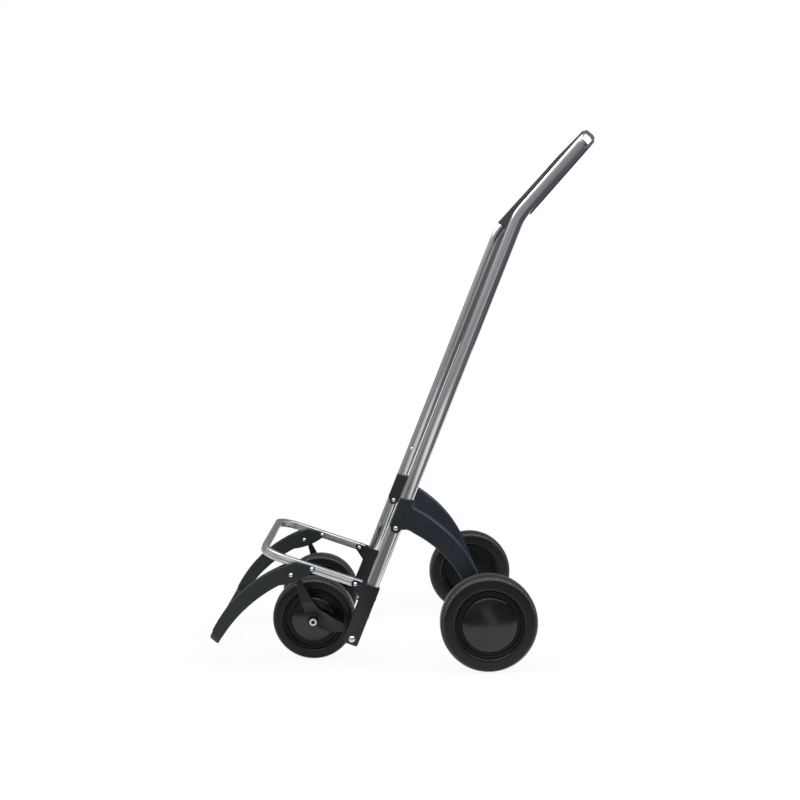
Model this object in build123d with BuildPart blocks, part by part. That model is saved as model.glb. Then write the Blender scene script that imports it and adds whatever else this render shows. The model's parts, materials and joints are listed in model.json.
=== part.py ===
from build123d import *
from math import cos, radians, sin
import os

# Layout in the side view, millimetres and degrees. Front is -X, the user stands at +X.
wheelbase = 327
front_wheel_d = 158.4
rear_wheel_d = 180
frame_half_width = 150
leg_lean = 67.65
bottom_pivot_back = 73.9
bottom_pivot_height = 53.8
platform_pivot_up = 99.9
platform_pivot_front = 31.87
platform_rise = 19.9
rail_above_pivot = 0.55
foot_pivot_along = 85.65
foot_pivot_above = 1.05
strut_along = 33.3
strut_below = 23.2
arm_pivot_up = 224.8
foot_reach = 194

# Handle tube
tube_depth = 22
tube_width = 14
tube_edge = 5
tube_wall = 1.5
tube_start = 38
handle_bend_up = 846
handle_bend_radius = 90
handle_slope = 47.6
handle_length = 196
handle_corner = 32
stud_up = 343
stud_front = 3.6
stud_head_r = 3.6
stud_head_h = 1.5
stud_shank_r = 2
stud_shank_l = 4

# Handle grip
grip_start = 17
grip_front_lip = 4.5
grip_back_lip = 3.3
grip_edge = 1.2
grip_wall = 2.4
grip_wrap = 1
grip_gap = 0.1

# Platform hoop
rail_height = 16
rail_width = 13
rail_edge = 3.5
rail_wall = 1.5
rail_back = 11
platform_length = 183
platform_corner = 42
groove_width = 0.7
groove_depth = 0.4
groove_pitch = 3.6
plug_head = 2.5
plug_shank = 6
plug_gap = 0.1

# Moulded brackets
cheek = 3
side_gap = 0.3
web = 2.7
front_wall = 3.2
sleeve_drop = 10
sleeve_top = 107
sleeve_corner = 4
slot_top = 52
ear_r = 7.5
ear_root_up = 78
ear_under_turn = 135
screw_ups = (48, 84)
screw_r = 1.6
screw_head_r = 3.2
screw_head_h = 1.6
screw_reach = 9

# Fasteners
rivet_r = 3
rivet_head_r = 3.9
rivet_head_h = 2.2
bolt_r = 4
bolt_head_r = 6.2
bolt_head_h = 3
nut_across = 13
nut_height = 6.5
bolt_tail = 1.5
fixed_gap = 0.02
running_gap = 0.05

# Wheel brackets
strut_eye_r = 8
pivot_eye_r = 8.5
bracket_hub_r = 10.5
bracket_nape = (-32.8, 98.8)
bracket_neck = (-23.5, 94.2)
bracket_elbow = (12.6, 24.8)
bracket_wrist = (58, 1)
bracket_heel = (59, -13.9)
bracket_keel = (27, -16.4)
bracket_elbow_r = 22
bracket_wrist_r = 8
bracket_end_turn = 40
plate = 6
plate_gap = 0.5
hub_face_in = 30.7
hub_end_in = 20
hub_plate_in = 24
dish_inner_r = 16
dish_outer_r = 45.5
hub_boss_r = 9.5

# Foot loop
foot_tip_height = 57
foot_tip_depth = 19
foot_tip_drop = 8.5
foot_tip_past = 1.2
foot_crown_back = 69.8
foot_crown_height = 152
foot_peak_along = 32.7
foot_peak_above = 3.6
foot_root_along = 48.1
foot_root_below = 49.3
foot_under_radius = 274
foot_flange_radius = 126
foot_lobe_r = 6
foot_lobe_end = -70
foot_slot_ahead = 0.75
foot_slot_tilt = -6.4
foot_bar = 12
foot_corner = 22
foot_inner_corner = 8
foot_tip_round = 6
foot_bar_slope = 65
rail_gap = 0.4

# Rear arms. Points named on the arm are a part of the way from pivot to axle and a distance off that line.
arm_lobe_r = 10
arm_cheek_up = 57
arm_cheek_back_up = 62
arm_root_up = 47.5
arm_front = 11.5
arm_knee = (0.311, 63.7)
arm_shin = (0.735, 44.4)
arm_heel = (0.912, -11.6)
arm_crook = (0.143, 17.5)
arm_hook_up = 4.7
arm_hook_back = 27
arm_notch_back = 20
arm_hub_r = 17
arm_under_radius = 219
arm_swing = 56
arm_hub_top = 22
arm_hub_under = 222

# Axles
axle_r = 5
front_bore_r = 3.8
flare_r = 7
flare_h = 2
spacer_r = 8
spacer_wall = 2.9
washer_r = 11
washer_h = 1.5
end_play = 0.3
push_nut_r = 9
push_nut_h = 2

# Wheels
front_wheel_in = 76.5
rear_wheel_out = 18
wheel_width = 42
front_seat_r = 57
rear_seat_r = 62
front_hub_out = 1.2
rear_hub_in = 12.6
front_cap_r = 42
rear_cap_r = 51
bush_r = 8
bush_flange_r = 10.5
bush_flange = 1.5
bush_shank = 12
hub_wall = 5
rim_web = 5
rim_barrel = 5
rim_flange = 3
rim_set_in = 3
tyre_seat = 2
tread_drop = 6
cap_rise = 4.2
cap_wall = 2
cap_skirt = 6
cap_hole_r = 11.5

sides = {"left": -1, "right": 1}


def polar(length, angle):
    return Vector(length * cos(radians(angle)), length * sin(radians(angle)))


def world(point, y=0):
    return Vector(point.X, y, point.Y)


leg_up = polar(1, leg_lean)
leg_front = polar(1, leg_lean + 90)
handle_up = polar(1, handle_slope)
handle_front = polar(1, handle_slope + 90)
rail_front = polar(1, 180 - platform_rise)
rail_up = polar(1, 90 - platform_rise)

# The front axle is placed so that the foot tip and the handle tip lie equally far from the middle.
handle_edge = tube_width / 2 - tube_edge
handle_back = tube_depth / 2 - tube_edge
handle_end = leg_up * handle_bend_up + handle_up * handle_length
tube_tip = handle_end + handle_up * handle_edge - handle_front * handle_back
grip_tip_back = tube_depth / 2 + grip_gap + grip_back_lip - grip_edge
grip_tip = handle_end + handle_up * (grip_wrap - grip_edge) - handle_front * grip_tip_back
handle_reach = bottom_pivot_back + max(tube_tip.X + tube_edge, grip_tip.X + grip_edge)
front_axle = Vector((foot_reach - handle_reach) / 2, front_wheel_d / 2)
rear_axle = Vector(front_axle.X + wheelbase, rear_wheel_d / 2)
bottom_pivot = Vector(front_axle.X + bottom_pivot_back, bottom_pivot_height)


def on_leg(up, front=0):
    return bottom_pivot + leg_up * up + leg_front * front


platform_pivot = on_leg(platform_pivot_up, platform_pivot_front)


def on_rail(along, above=0):
    return platform_pivot + rail_front * along + rail_up * above


foot_pivot = on_rail(foot_pivot_along, foot_pivot_above)
strut_pivot = on_rail(foot_pivot_along + strut_along, foot_pivot_above - strut_below)
arm_pivot = on_leg(arm_pivot_up)
arm_chord = rear_axle - arm_pivot
arm_side = Vector(-arm_chord.Y, arm_chord.X).normalized()


def on_arm(along, out):
    return arm_pivot + arm_chord * along + arm_side * out


# Stack of moulded cheeks across each leg
gap_near = frame_half_width - tube_width / 2 - side_gap
gap_far = frame_half_width + tube_width / 2 + side_gap
cheek_near = gap_near - cheek
cheek_far = gap_far + cheek
leg_back_gap = tube_depth / 2 + side_gap
web_back = leg_back_gap + web
sleeve_front = leg_back_gap + front_wall


def side_plane(side, near, far):
    return Plane.XZ.offset(near if side < 0 else -far)


def axle_plane(point):
    return Plane(origin=world(point), x_dir=(0, 1, 0), z_dir=(1, 0, 0))


def axle_line(point):
    return Axis(world(point), (0, 1, 0))


def spot(point):
    return Locations((point.X, point.Y))


def save(builder, name):
    builder.part.label = name
    export_step(builder.part, f"parts/{name}.step")


def bore(side, point, radius, near, far):
    with BuildSketch(side_plane(side, near, far)) as hole:
        with spot(point):
            Circle(radius)
    extrude(hole.sketch, amount=far - near, mode=Mode.SUBTRACT)


def ring(point, inner, outer, start, end):
    with BuildSketch(axle_plane(point)) as section:
        with Locations(((start + end) / 2, (inner + outer) / 2)):
            Rectangle(abs(end - start), outer - inner)
    revolve(section.sketch, axis=axle_line(point))


def rivet(side, point, shank, head_r, head_h, near, far):
    with BuildSketch(axle_plane(point)) as section:
        with BuildLine():
            TangentArc((side * (far + head_h), 0), (side * far, head_r), tangent=(0, 1))
            Polyline((side * far, head_r), (side * far, shank), (side * near, shank), (side * near, head_r))
            TangentArc((side * (near - head_h), 0), (side * near, head_r), tangent=(0, 1))
            Line((side * (near - head_h), 0), (side * (far + head_h), 0))
        make_face()
    revolve(section.sketch, axis=axle_line(point))


os.makedirs("parts", exist_ok=True)

# One bent tube makes both legs and the handle loop.
handle_corner_point = on_leg(handle_bend_up)
handle_top = handle_corner_point + handle_up * handle_length
tube_points = [on_leg(tube_start), handle_corner_point, handle_top]
tube_left = [world(point, -frame_half_width) for point in tube_points]
tube_right = [world(point, frame_half_width) for point in reversed(tube_points)]
tube_radii = [handle_bend_radius, handle_corner, handle_corner, handle_bend_radius]

with BuildPart() as handle_tube:
    with BuildLine() as tube_path:
        FilletPolyline(*tube_left, *tube_right, radius=tube_radii)
    with BuildSketch(Plane(origin=tube_left[0], x_dir=world(leg_front), z_dir=world(leg_up))):
        RectangleRounded(tube_depth, tube_width, tube_edge)
        offset(amount=-tube_wall, mode=Mode.SUBTRACT)
    sweep(path=tube_path.wires()[0])
    for side in sides.values():
        bore(side, arm_pivot, rivet_r + fixed_gap, gap_near, gap_far)
        bore(side, on_leg(stud_up, stud_front), stud_shank_r + fixed_gap, gap_near, frame_half_width)
        for up in screw_ups:
            with BuildSketch(Plane(world(on_leg(up), side * frame_half_width), z_dir=world(-leg_front))):
                Circle(screw_r + fixed_gap)
            extrude(amount=tube_depth, mode=Mode.SUBTRACT)
save(handle_tube, "handle_tube")

grip_points = [handle_corner_point + handle_up * grip_start, handle_top]
grip_left = [world(point, -frame_half_width) for point in grip_points]
grip_right = [world(point, frame_half_width) for point in reversed(grip_points)]

with BuildPart() as handle_grip:
    with BuildLine() as grip_path:
        FilletPolyline(*grip_left, *grip_right, radius=handle_corner)
    with BuildSketch(Plane(origin=grip_left[0], x_dir=world(handle_front), z_dir=world(handle_up))):
        grip_depth = tube_depth + 2 * grip_gap + grip_front_lip + grip_back_lip
        grip_inner = tube_width / 2 + grip_gap + grip_wall
        with Locations(((grip_front_lip - grip_back_lip) / 2, (grip_wrap - grip_inner) / 2)):
            RectangleRounded(grip_depth, grip_inner + grip_wrap, grip_edge)
        grip_hole = (tube_depth + 2 * grip_gap, tube_width + 2 * grip_gap)
        RectangleRounded(*grip_hole, tube_edge, mode=Mode.SUBTRACT)
    sweep(path=grip_path.wires()[0])
save(handle_grip, "handle_grip")

with BuildPart() as leg_studs:
    stud_face = frame_half_width - tube_width / 2
    stud = on_leg(stud_up, stud_front)
    for side in sides.values():
        with BuildSketch(axle_plane(stud)):
            with BuildLine():
                stud_top = side * (stud_face - stud_head_h)
                stud_end = side * (stud_face + stud_shank_l)
                TangentArc((stud_top, 0), (side * stud_face, stud_head_r), tangent=(0, 1))
                Polyline(
                    (side * stud_face, stud_head_r),
                    (side * stud_face, stud_shank_r),
                    (stud_end, stud_shank_r),
                    (stud_end, 0),
                    (stud_top, 0),
                )
            make_face()
        revolve(axis=axle_line(stud))
save(leg_studs, "leg_studs")

# Sleeves on the leg ends, open in front at the bottom for the wheel brackets, with ears for the platform.
for name, side in sides.items():
    with BuildPart() as lower_bracket:
        with BuildSketch(side_plane(side, cheek_near, cheek_far)):
            with BuildLine():
                FilletPolyline(
                    on_leg(ear_root_up, -web_back),
                    on_leg(-sleeve_drop, -web_back),
                    on_leg(-sleeve_drop, sleeve_front),
                    on_leg(ear_root_up, sleeve_front),
                    radius=sleeve_corner,
                )
                Polyline(
                    on_leg(ear_root_up, sleeve_front),
                    platform_pivot + polar(ear_r, leg_lean + ear_under_turn),
                    platform_pivot,
                    on_leg(platform_pivot_up + ear_r, platform_pivot_front),
                    on_leg(sleeve_top, -web_back),
                    on_leg(ear_root_up, -web_back),
                )
            make_face()
            with spot(platform_pivot):
                Circle(ear_r)
        extrude(amount=cheek_far - cheek_near)
        channel_plane = side_plane(side, gap_near, gap_far)
        # the leg runs in the channel, and the rail and the wheel bracket swing between the cheeks
        with BuildSketch(channel_plane):
            with BuildLine():
                Polyline(
                    on_leg(-tube_depth, -leg_back_gap),
                    on_leg(sleeve_top + tube_depth, -leg_back_gap),
                    on_leg(sleeve_top + tube_depth, leg_back_gap),
                    on_leg(slot_top, leg_back_gap),
                    on_leg(slot_top, sleeve_front + front_wall),
                    on_leg(-tube_depth, sleeve_front + front_wall),
                    close=True,
                )
            make_face()
        extrude(amount=gap_far - gap_near, mode=Mode.SUBTRACT)
        with BuildSketch(channel_plane):
            with BuildLine():
                Polyline(
                    on_leg(0, sleeve_front),
                    on_leg(sleeve_top + tube_depth, sleeve_front),
                    on_leg(sleeve_top + tube_depth, platform_pivot_front + 2 * ear_r),
                    on_leg(0, platform_pivot_front + 2 * ear_r),
                    close=True,
                )
            make_face()
        extrude(amount=gap_far - gap_near, mode=Mode.SUBTRACT)
        bore(side, platform_pivot, rivet_r + fixed_gap, cheek_near, cheek_far)
        bore(side, bottom_pivot, bolt_r + fixed_gap, cheek_near, cheek_far)
        for up in screw_ups:
            with BuildSketch(Plane(world(on_leg(up), side * frame_half_width), z_dir=world(-leg_front))):
                Circle(screw_r + fixed_gap)
            extrude(amount=tube_depth, mode=Mode.SUBTRACT)
    save(lower_bracket, f"lower_bracket_{name}")

with BuildPart() as bracket_screws:
    for side in sides.values():
        for up in screw_ups:
            screw_seat = world(on_leg(up, -web_back), side * frame_half_width)
            with BuildSketch(Plane(screw_seat, z_dir=world(-leg_front))):
                Circle(screw_head_r)
            extrude(amount=screw_head_h)
            with BuildSketch(Plane(screw_seat, z_dir=world(leg_front))):
                Circle(screw_r)
            extrude(amount=screw_reach)
save(bracket_screws, "bracket_screws")

with BuildPart() as platform_pivot_rivets:
    for side in sides.values():
        rivet(side, platform_pivot, rivet_r, rivet_head_r, rivet_head_h, cheek_near, cheek_far)
save(platform_pivot_rivets, "platform_pivot_rivets")

with BuildPart() as arm_pivot_rivets:
    for side in sides.values():
        rivet(side, arm_pivot, rivet_r, rivet_head_r, rivet_head_h, cheek_near, cheek_far)
save(arm_pivot_rivets, "arm_pivot_rivets")

with BuildPart() as bracket_pivot_bolts:
    bolt_end = cheek_near - nut_height - bolt_tail
    for side in sides.values():
        with BuildSketch(axle_plane(bottom_pivot)):
            with BuildLine():
                TangentArc(
                    (side * (cheek_far + bolt_head_h), 0), (side * cheek_far, bolt_head_r), tangent=(0, 1)
                )
                Polyline(
                    (side * cheek_far, bolt_head_r),
                    (side * cheek_far, bolt_r),
                    (side * bolt_end, bolt_r),
                    (side * bolt_end, 0),
                    (side * (cheek_far + bolt_head_h), 0),
                )
            make_face()
        revolve(axis=axle_line(bottom_pivot))
save(bracket_pivot_bolts, "bracket_pivot_bolts")

with BuildPart() as bracket_pivot_nuts:
    for side in sides.values():
        with BuildSketch(side_plane(side, cheek_near - nut_height, cheek_near)):
            with spot(bottom_pivot):
                RegularPolygon(nut_across / 2, 6, major_radius=False, rotation=leg_lean)
                Circle(bolt_r + fixed_gap, mode=Mode.SUBTRACT)
        extrude(amount=nut_height)
save(bracket_pivot_nuts, "bracket_pivot_nuts")

# The platform is one bent tube with fine grooves along both sides.
rail_points = [on_rail(-rail_back, rail_above_pivot), on_rail(platform_length, rail_above_pivot)]
rail_left = [world(point, -frame_half_width) for point in rail_points]
rail_right = [world(point, frame_half_width) for point in reversed(rail_points)]

with BuildPart() as platform_hoop:
    with BuildLine() as rail_path:
        FilletPolyline(*rail_left, *rail_right, radius=platform_corner)
    with BuildSketch(Plane(origin=rail_left[0], x_dir=(0, 1, 0), z_dir=world(rail_front))):
        RectangleRounded(rail_width, rail_height, rail_edge)
        offset(amount=-rail_wall, mode=Mode.SUBTRACT)
        for face in (-1, 1):
            with Locations((face * rail_width / 2, 0)):
                with GridLocations(0, groove_pitch, 1, 3):
                    Rectangle(2 * groove_depth, groove_width, mode=Mode.SUBTRACT)
    sweep(path=rail_path.wires()[0])
    for side in sides.values():
        bore(side, platform_pivot, rivet_r + running_gap, gap_near, gap_far)
        bore(side, foot_pivot, rivet_r + fixed_gap, gap_near, gap_far)
save(platform_hoop, "platform_hoop")

with BuildPart() as platform_end_plugs:
    for end in (rail_left[0], rail_right[-1]):
        with BuildSketch(Plane(origin=end, x_dir=(0, 1, 0), z_dir=world(-rail_front))):
            RectangleRounded(rail_width, rail_height, rail_edge)
        extrude(amount=plug_head)
        shank_less = 2 * (rail_wall + plug_gap)
        with BuildSketch(Plane(origin=end, x_dir=(0, 1, 0), z_dir=world(rail_front))):
            RectangleRounded(rail_width - shank_less, rail_height - shank_less, rail_edge - rail_wall)
        extrude(amount=plug_shank)
save(platform_end_plugs, "platform_end_plugs")

with BuildPart() as foot_pivot_rivets:
    for side in sides.values():
        rivet(side, foot_pivot, rivet_r, rivet_head_r, rivet_head_h, cheek_near, cheek_far)
save(foot_pivot_rivets, "foot_pivot_rivets")

# Foot loop: two curved arms joined by a bar at the tip, each arm forked over the rail and the strut.
foot_front = front_axle.X - foot_reach
foot_tip_top = Vector(foot_front - foot_tip_past, foot_tip_height)
foot_tip_under = foot_tip_top + Vector(foot_tip_depth, -foot_tip_drop)
foot_crown = Vector(foot_front + foot_crown_back, foot_crown_height)
foot_peak = on_rail(foot_pivot_along + foot_peak_along, foot_pivot_above + foot_peak_above)
foot_root = on_rail(foot_pivot_along + foot_root_along, foot_pivot_above - foot_root_below)
foot_lobe_top = foot_pivot + rail_up * foot_lobe_r
foot_lobe_under = foot_pivot + polar(foot_lobe_r, foot_lobe_end)
foot_tip = world((foot_tip_top + foot_tip_under) * 0.5)
foot_bar_up = world(polar(1, foot_bar_slope))
foot_bar_plane = Plane(foot_tip, x_dir=foot_bar_up, z_dir=world(polar(1, foot_bar_slope + 90)))
foot_length = 2 * foot_reach

with BuildPart() as foot_loop:
    with BuildSketch(Plane.XZ.offset(-cheek_far)):
        with BuildLine():
            ThreePointArc(foot_tip_top, foot_crown, foot_peak)
            Polyline(foot_peak, foot_lobe_top, foot_pivot, foot_lobe_under)
            RadiusArc(foot_lobe_under, foot_root, foot_flange_radius)
            RadiusArc(foot_root, foot_tip_under, -foot_under_radius)
            Line(foot_tip_under, foot_tip_top)
        make_face()
        with spot(foot_pivot):
            Circle(foot_lobe_r)
    extrude(amount=2 * cheek_far)
    fillet(edges().filter_by(Axis.Y).group_by(Axis.Z)[:2], foot_tip_round)
    # the loop as seen square to the tip
    with BuildSketch(foot_bar_plane):
        with Locations((foot_length / 2 - foot_tip_round, 0)):
            RectangleRounded(foot_length, 2 * cheek_far, foot_corner)
        with Locations((foot_length / 2 + foot_bar, 0)):
            RectangleRounded(foot_length, 2 * cheek_near, foot_inner_corner, mode=Mode.SUBTRACT)
    extrude(amount=foot_length, both=True, mode=Mode.INTERSECT)
    for side in sides.values():
        with BuildSketch(side_plane(side, gap_near, gap_far)):
            with Locations(Location(tuple(foot_root - Vector(foot_slot_ahead, 0)), foot_slot_tilt)):
                Rectangle(foot_length, foot_length, align=(Align.MIN, Align.CENTER))
            with Locations(Location(tuple(on_rail(foot_pivot_along, rail_above_pivot)), -platform_rise)):
                Rectangle(foot_length, rail_height + 2 * rail_gap)
        extrude(amount=gap_far - gap_near, mode=Mode.SUBTRACT)
        bore(side, foot_pivot, rivet_r + running_gap, cheek_near, cheek_far)
        bore(side, strut_pivot, rivet_r + fixed_gap, cheek_near, cheek_far)
save(foot_loop, "foot_loop")

with BuildPart() as strut_studs:
    for side in sides.values():
        for face, flange_end, outward in ((cheek_far, gap_far, 1), (cheek_near, gap_near, -1)):
            with BuildSketch(axle_plane(strut_pivot)):
                apex = side * (face + outward * rivet_head_h)
                with BuildLine():
                    TangentArc((apex, 0), (side * face, rivet_head_r), tangent=(0, 1))
                    Polyline(
                        (side * face, rivet_head_r),
                        (side * face, rivet_r),
                        (side * flange_end, rivet_r),
                        (side * flange_end, 0),
                        (apex, 0),
                    )
                make_face()
            revolve(axis=axle_line(strut_pivot))
save(strut_studs, "strut_studs")

# Wheel brackets: a bent lever, dished inward from its two eyes to the front axle.
eye_near = gap_near + plate_gap
eye_far = gap_far - plate_gap
hub_near = frame_half_width - hub_face_in
hub_far = frame_half_width - hub_end_in
hub_plate = frame_half_width - hub_plate_in
dish_end = (bottom_pivot - strut_pivot).length
bracket_corners = [
    front_axle + Vector(*corner)
    for corner in (bracket_nape, bracket_neck, bracket_elbow, bracket_wrist, bracket_heel, bracket_keel)
]
nape, neck, elbow, wrist, heel, keel = bracket_corners

for name, side in sides.items():
    with BuildPart() as wheel_bracket:
        with BuildSketch(side_plane(side, hub_near, eye_far)):
            with BuildLine():
                Polyline(
                    nape,
                    strut_pivot,
                    neck,
                    elbow,
                    wrist,
                    bottom_pivot + polar(pivot_eye_r, bracket_end_turn),
                    bottom_pivot,
                    heel,
                    keel,
                    front_axle,
                    front_axle - Vector(bracket_hub_r, 0),
                    close=True,
                )
            make_face()
            fillet(vertices().sort_by_distance(elbow)[0], bracket_elbow_r)
            fillet(vertices().sort_by_distance(wrist)[0], bracket_wrist_r)
            fillet(vertices().sort_by_distance(keel)[0], bracket_elbow_r)
            with spot(strut_pivot):
                Circle(strut_eye_r)
            with spot(front_axle):
                Circle(bracket_hub_r)
            with spot(bottom_pivot):
                Circle(pivot_eye_r)
        extrude(amount=eye_far - hub_near)
        with BuildSketch(axle_plane(front_axle)):
            with BuildLine():
                Polyline(
                    (side * hub_near, 0),
                    (side * hub_near, dish_inner_r),
                    (side * eye_near, dish_outer_r),
                    (side * eye_near, dish_end),
                    (side * (eye_near + plate), dish_end),
                    (side * (eye_near + plate), dish_outer_r - plate / 2),
                    (side * hub_plate, dish_inner_r - plate / 2),
                    (side * hub_plate, hub_boss_r),
                    (side * hub_far, hub_boss_r),
                    (side * hub_far, 0),
                    close=True,
                )
            make_face()
        revolve(axis=axle_line(front_axle), mode=Mode.INTERSECT)
        with BuildSketch(side_plane(side, eye_near, eye_far)):
            with spot(strut_pivot):
                Circle(strut_eye_r)
            with spot(bottom_pivot):
                Circle(pivot_eye_r)
        extrude(amount=eye_far - eye_near)
        bore(side, front_axle, axle_r + fixed_gap, hub_near, hub_far)
        bore(side, bottom_pivot, bolt_r + running_gap, eye_near, eye_far)
        bore(side, strut_pivot, rivet_r + running_gap, eye_near, eye_far)
    save(wheel_bracket, f"wheel_bracket_{name}")

front_near = frame_half_width - front_wheel_in
front_far = front_near + wheel_width
front_hub_near = front_near - front_hub_out
front_washer_far = hub_near - end_play
front_washer_near = front_washer_far - washer_h
front_hub_far = front_washer_near - end_play
axle_end = hub_far + flare_h

with BuildPart() as front_axle_tube:
    ring(front_axle, front_bore_r, axle_r, -axle_end, axle_end)
    for side in sides.values():
        ring(front_axle, front_bore_r, flare_r, side * hub_far, side * axle_end)
    fillet(edges().filter_by(GeomType.CIRCLE).group_by(SortBy.RADIUS)[-1], flare_h / 3)
save(front_axle_tube, "front_axle")

with BuildPart() as front_spacer_tube:
    spacer_end = front_hub_near - end_play
    ring(front_axle, spacer_r - spacer_wall, spacer_r, -spacer_end, spacer_end)
save(front_spacer_tube, "front_spacer_tube")

with BuildPart() as front_axle_washers:
    for side in sides.values():
        ring(front_axle, axle_r + fixed_gap, washer_r, side * front_washer_near, side * front_washer_far)
save(front_axle_washers, "front_axle_washers")

# Rear arms: a fork round the leg, then a curved arm down to the axle.
arm_top = on_leg(arm_pivot_up + arm_cheek_back_up, -web_back)
arm_root = on_leg(arm_pivot_up + arm_root_up, -web_back)
arm_end_top = rear_axle + polar(arm_hub_r, arm_hub_top)
arm_end_under = rear_axle + polar(arm_hub_r, arm_hub_under)

for name, side in sides.items():
    with BuildPart() as rear_arm:
        with BuildSketch(side_plane(side, cheek_near, cheek_far)):
            with BuildLine():
                ThreePointArc(arm_root, on_arm(*arm_knee), on_arm(*arm_shin))
                Polyline(on_arm(*arm_shin), arm_end_top, rear_axle, arm_end_under, on_arm(*arm_heel))
                RadiusArc(on_arm(*arm_heel), on_arm(*arm_crook), -arm_under_radius)
                Polyline(
                    on_arm(*arm_crook),
                    on_leg(arm_pivot_up + arm_hook_up, -arm_hook_back),
                    on_leg(arm_pivot_up + arm_hook_up, -arm_notch_back),
                    arm_pivot - leg_front * arm_lobe_r,
                    arm_pivot,
                    on_leg(arm_pivot_up, arm_front),
                    on_leg(arm_pivot_up + arm_cheek_up, arm_front),
                    arm_top,
                    arm_root,
                )
            make_face()
            with spot(rear_axle):
                Circle(arm_hub_r)
            with spot(arm_pivot):
                Circle(arm_lobe_r)
        extrude(amount=cheek_far - cheek_near)
        # room for the leg, at rest and with the arm swung forward
        with BuildSketch(side_plane(side, gap_near, gap_far)):
            for swing in (0, arm_swing):
                with Locations(Location(tuple(arm_pivot), leg_lean - 90 + swing)):
                    with Locations((leg_back_gap, 0)):
                        Rectangle(3 * leg_back_gap, arm_pivot_up, align=(Align.MAX, Align.CENTER))
        extrude(amount=gap_far - gap_near, mode=Mode.SUBTRACT)
        bore(side, arm_pivot, rivet_r + running_gap, cheek_near, cheek_far)
        bore(side, rear_axle, axle_r + fixed_gap, cheek_near, cheek_far)
    save(rear_arm, f"rear_arm_{name}")

rear_near = frame_half_width + rear_wheel_out
rear_far = rear_near + wheel_width
rear_washer_near = cheek_far + fixed_gap
rear_washer_far = rear_washer_near + washer_h
rear_hub_near = rear_washer_far + end_play
rear_hub_far = rear_far - rear_hub_in
push_nut_near = rear_hub_far + end_play

with BuildPart() as rear_axle_rod:
    rod_end = push_nut_near + 2 * push_nut_h
    ring(rear_axle, 0, axle_r, -rod_end, rod_end)
save(rear_axle_rod, "rear_axle")

with BuildPart() as rear_axle_washers:
    for side in sides.values():
        ring(rear_axle, axle_r + fixed_gap, washer_r, side * rear_washer_near, side * rear_washer_far)
save(rear_axle_washers, "rear_axle_washers")

with BuildPart() as rear_push_nuts:
    for side in sides.values():
        push_nut_far = push_nut_near + push_nut_h
        ring(rear_axle, axle_r + fixed_gap, push_nut_r, side * push_nut_near, side * push_nut_far)
save(rear_push_nuts, "rear_push_nuts")


def wheel(end, name, side, axle, radius, seat_r, cap_r, near, far, hub_start, hub_end, cap_hole):
    flange_far = far - rim_set_in
    flange_near = near + rim_set_in
    barrel_r = seat_r - tyre_seat
    hub_in = hub_start + bush_flange + fixed_gap
    hub_out = hub_end - bush_flange - fixed_gap
    hub_r = bush_r + fixed_gap
    web_mid = (near + far) / 2

    with BuildPart() as tyre:
        with BuildSketch(axle_plane(axle)):
            with BuildLine():
                seat = barrel_r + fixed_gap
                base_near = side * (flange_near + rim_flange + fixed_gap)
                base_far = side * (flange_far - rim_flange - fixed_gap)
                wall = seat_r + fixed_gap
                bulge = (seat_r + radius) / 2
                shoulder = radius - tread_drop
                tread_near = (side * (near + tread_drop / 2), shoulder)
                tread_far = (side * (far - tread_drop / 2), shoulder)
                Polyline(
                    (side * flange_near, wall),
                    (base_near, wall),
                    (base_near, seat),
                    (base_far, seat),
                    (base_far, wall),
                    (side * flange_far, wall),
                )
                ThreePointArc((side * flange_far, wall), (side * far, bulge), tread_far)
                ThreePointArc(tread_far, (side * web_mid, radius), tread_near)
                ThreePointArc(tread_near, (side * near, bulge), (side * flange_near, wall))
            make_face()
        revolve(axis=axle_line(axle))
    save(tyre, f"{end}_tyre_{name}")

    with BuildPart() as rim:
        ring(axle, hub_r, hub_r + hub_wall, side * hub_in, side * hub_out)
        ring(axle, hub_r, barrel_r, side * (web_mid - rim_web / 2), side * (web_mid + rim_web / 2))
        ring(axle, barrel_r - rim_barrel, barrel_r, side * flange_near, side * flange_far)
        ring(axle, barrel_r - rim_barrel, seat_r, side * flange_near, side * (flange_near + rim_flange))
        ring(axle, cap_r - cap_wall, seat_r, side * (flange_far - rim_flange), side * flange_far)
    save(rim, f"{end}_rim_{name}")

    with BuildPart() as hub_cap:
        cap_seat = flange_far + fixed_gap
        skirt_r = cap_r - cap_wall - fixed_gap
        dome_in = side * (cap_seat + cap_rise)
        dome_out = side * (cap_seat + cap_rise + cap_wall)
        with BuildSketch(axle_plane(axle)):
            with BuildLine():
                TangentArc((dome_out, 0), (side * (cap_seat + cap_wall), cap_r), tangent=(0, 1))
                Polyline(
                    (side * (cap_seat + cap_wall), cap_r),
                    (side * cap_seat, cap_r),
                    (side * cap_seat, skirt_r),
                    (side * (cap_seat - cap_skirt), skirt_r),
                    (side * (cap_seat - cap_skirt), skirt_r - cap_wall),
                    (side * cap_seat, skirt_r - cap_wall),
                )
                TangentArc((dome_in, 0), (side * cap_seat, skirt_r - cap_wall), tangent=(0, 1))
                Line((dome_in, 0), (dome_out, 0))
            make_face()
        revolve(axis=axle_line(axle))
        if cap_hole:
            bore(side, axle, cap_hole, near, far + cap_rise)
    save(hub_cap, f"{end}_hub_cap_{name}")

    with BuildPart() as bushes:
        bush_bore = axle_r + running_gap
        for start, inward in ((hub_start, 1), (hub_end, -1)):
            ring(axle, bush_bore, bush_flange_r, side * start, side * (start + inward * bush_flange))
            ring(axle, bush_bore, bush_r, side * start, side * (start + inward * bush_shank))
    save(bushes, f"{end}_bushes_{name}")


for name, side in sides.items():
    wheel("front", name, side, front_axle, front_wheel_d / 2, front_seat_r, front_cap_r,
          front_near, front_far, front_hub_near, front_hub_far, cap_hole_r)
    wheel("rear", name, side, rear_axle, rear_wheel_d / 2, rear_seat_r, rear_cap_r,
          rear_near, rear_far, rear_hub_near, rear_hub_far, 0)
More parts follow.
